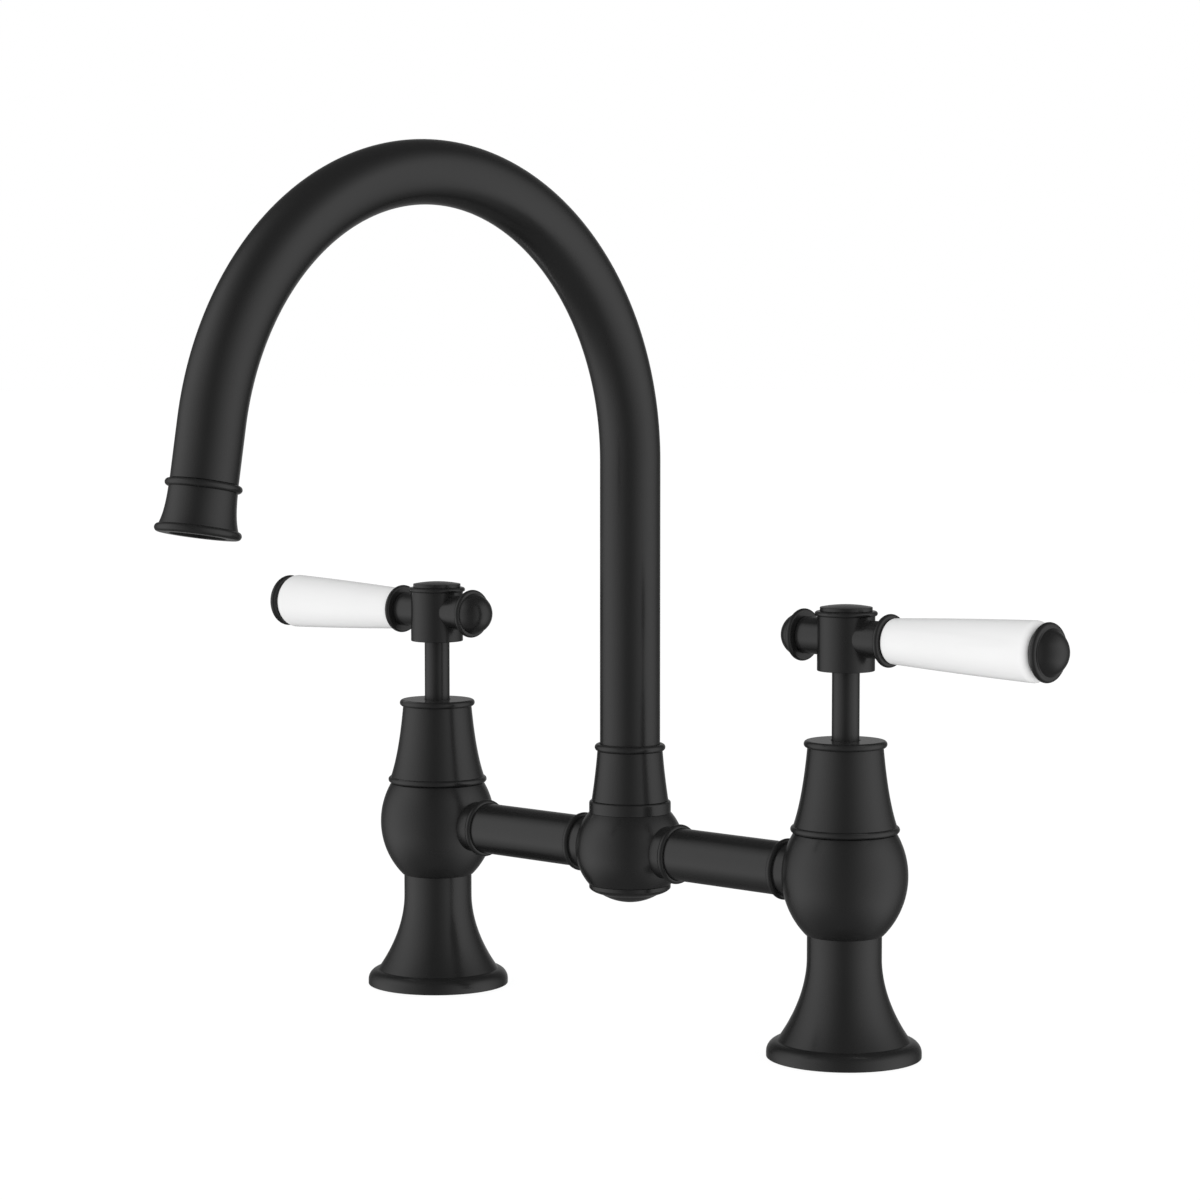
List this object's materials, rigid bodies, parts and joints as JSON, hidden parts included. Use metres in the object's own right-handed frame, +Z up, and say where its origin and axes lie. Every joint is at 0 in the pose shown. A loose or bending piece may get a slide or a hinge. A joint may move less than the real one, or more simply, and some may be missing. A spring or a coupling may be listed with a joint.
{
  "type": "bridge kitchen faucet",
  "caption": "Deck-mounted bridge kitchen faucet in satin black, with a swivelling gooseneck spout between two turned pillars and white porcelain lever handles.",
  "frame": {"origin": "midway between the two pillars' axes, on the deck plane that the feet stand on", "axes": "+X from the left pillar to the right pillar as the user sees them, -Y towards the user, which is the way the spout reaches, +Z up"},
  "size_m": [0.3816, 0.2461, 0.3157],
  "materials": {
    "black_metal": "satin black powder coat over brass",
    "porcelain": "glossy white glaze",
    "brass": "plain turned brass",
    "steel": "plain stainless steel",
    "ceramic_disc": "lapped alumina",
    "rubber": "matt black rubber",
    "black_plastic": "moulded dark plastic"
  },
  "bodies": {
    "body": {"left_foot": "black_metal", "left_foot_gasket": "rubber", "left_inlet_bush": "brass", "left_valve_body": "black_metal", "left_bonnet": "black_metal", "left_seat_seal": "rubber", "left_fixed_disc": "ceramic_disc", "left_cartridge_housing": "brass", "left_spindle_o_ring": "rubber", "left_inner_union": "black_metal", "left_bridge_tube": "black_metal", "left_outer_union": "black_metal", "right_foot": "black_metal", "right_foot_gasket": "rubber", "right_inlet_bush": "brass", "right_valve_body": "black_metal", "right_bonnet": "black_metal", "right_seat_seal": "rubber", "right_fixed_disc": "ceramic_disc", "right_cartridge_housing": "brass", "right_spindle_o_ring": "rubber", "right_inner_union": "black_metal", "right_bridge_tube": "black_metal", "right_outer_union": "black_metal", "centre_body": "black_metal", "bottom_plug": "black_metal", "lock_ring": "black_metal", "spout_hood": "black_metal"},
    "spout": {"spout_tube": "black_metal", "spout_nipple": "brass", "lower_swivel_o_ring": "rubber", "upper_swivel_o_ring": "rubber", "nozzle": "black_metal", "aerator_washer": "rubber", "aerator": "black_plastic"},
    "left_handle": {"left_moving_disc": "ceramic_disc", "left_spindle": "brass", "left_stem": "black_metal", "left_handle_hub": "black_metal", "left_handle_screw": "steel", "left_hub_cap": "black_metal", "left_finial": "black_metal", "left_grip_collar": "black_metal", "left_grip_rod": "steel", "left_porcelain_grip": "porcelain", "left_grip_end_cap": "black_metal"},
    "right_handle": {"right_moving_disc": "ceramic_disc", "right_spindle": "brass", "right_stem": "black_metal", "right_handle_hub": "black_metal", "right_handle_screw": "steel", "right_hub_cap": "black_metal", "right_finial": "black_metal", "right_grip_collar": "black_metal", "right_grip_rod": "steel", "right_porcelain_grip": "porcelain", "right_grip_end_cap": "black_metal"}
  },
  "joints": [
    {"name": "spout_swivel", "type": "hinge", "parent": "body", "child": "spout", "pos_m": [0, 0, 0.08], "axis": [0, 0, 1], "continuous": true},
    {"name": "left_handle_turn", "type": "hinge", "parent": "body", "child": "left_handle", "pos_m": [-0.1, 0, 0.1], "axis": [0, 0, 1], "range_deg": [0, 90]},
    {"name": "right_handle_turn", "type": "hinge", "parent": "body", "child": "right_handle", "pos_m": [0.1, 0, 0.1], "axis": [0, 0, 1], "range_deg": [-90, 0]}
  ]
}
